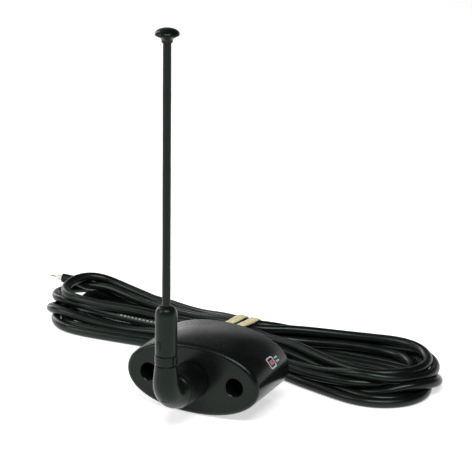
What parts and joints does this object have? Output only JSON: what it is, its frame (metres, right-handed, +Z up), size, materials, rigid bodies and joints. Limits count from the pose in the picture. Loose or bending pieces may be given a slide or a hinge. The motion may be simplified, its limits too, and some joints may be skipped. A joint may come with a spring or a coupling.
{
  "type": "signal booster antenna",
  "caption": "Oval wall housing with a swivelling elbow, an upright quarter wave whip with a round tip, and a coaxial lead tied in a hank.",
  "frame": {"origin": "on the surface the housing stands on, under the middle of the housing and whip together, without the free cable", "axes": "+Z up along the whip, +Y out of the housing's back towards the wall, +X along the housing's long side"},
  "size_m": [0.2389, 0.156, 0.199],
  "materials": {
    "housing_abs": "injection moulded black ABS, satin, very fine grain",
    "boss_nylon": "moulded black nylon, duller than the housing",
    "whip_plastic": "moulded black plastic, satin",
    "coated_rod": "spring steel rod under a smooth black coating",
    "black_rubber": "moulded black rubber, matte",
    "cable_pvc": "extruded black PVC cable jacket, soft sheen",
    "latex_band": "natural rubber band, cream",
    "brass": "turned brass",
    "plated_steel": "zinc plated steel",
    "tinned_steel": "folded tinned steel sheet",
    "board_laminate": "green solder mask on glass epoxy",
    "chip_epoxy": "moulded black epoxy",
    "ceramic": "fired ceramic, tan",
    "polythene": "solid polythene dielectric, milky",
    "copper": "bare copper"
  },
  "bodies": {
    "base": {"housing_shell": "housing_abs", "back_cover": "housing_abs", "cover_gasket": "black_rubber", "cover_screw_top": "plated_steel", "cover_screw_bottom": "plated_steel", "circuit_board": "board_laminate", "board_screw_1": "plated_steel", "board_screw_2": "plated_steel", "rf_shield_can": "tinned_steel", "amplifier_chip": "chip_epoxy", "bandpass_filter": "ceramic", "regulator_chip": "chip_epoxy", "supply_choke": "chip_epoxy", "chip_capacitor_1": "ceramic", "chip_capacitor_2": "ceramic", "chip_capacitor_3": "ceramic", "contact_plunger": "brass", "swivel_boss": "boss_nylon", "boss_nut": "brass", "boss_seal": "black_rubber", "swivel_seal": "black_rubber", "inner_coax": "cable_pvc", "inner_dielectric": "polythene", "inner_core": "copper", "crimp_ring": "brass", "cable_boot": "black_rubber", "cable_lead": "cable_pvc", "cable_hank": "cable_pvc", "rubber_band": "latex_band", "cable_tail": "cable_pvc", "tail_dielectric": "polythene", "tail_core": "copper"},
    "elbow_arm": {"elbow": "whip_plastic", "pivot_stud": "brass", "wave_washer": "plated_steel", "lock_nut": "brass", "feed_conductor": "copper", "threaded_insert": "brass", "lock_ring": "whip_plastic"},
    "whip": {"whip_sleeve": "whip_plastic", "whip_ferrule": "brass", "whip_rod": "coated_rod", "tip_knob": "whip_plastic"}
  },
  "joints": [
    {"name": "elbow_swivel", "type": "hinge", "parent": "base", "child": "elbow_arm", "pos_m": [0, -0.02356, 0.018], "axis": [0, 1, 0], "range_deg": [-90, 90]},
    {"name": "whip_turn", "type": "hinge", "parent": "elbow_arm", "child": "whip", "pos_m": [0, -0.03356, 0.0405], "axis": [0, 0, 1], "range_deg": [0, 180]}
  ]
}
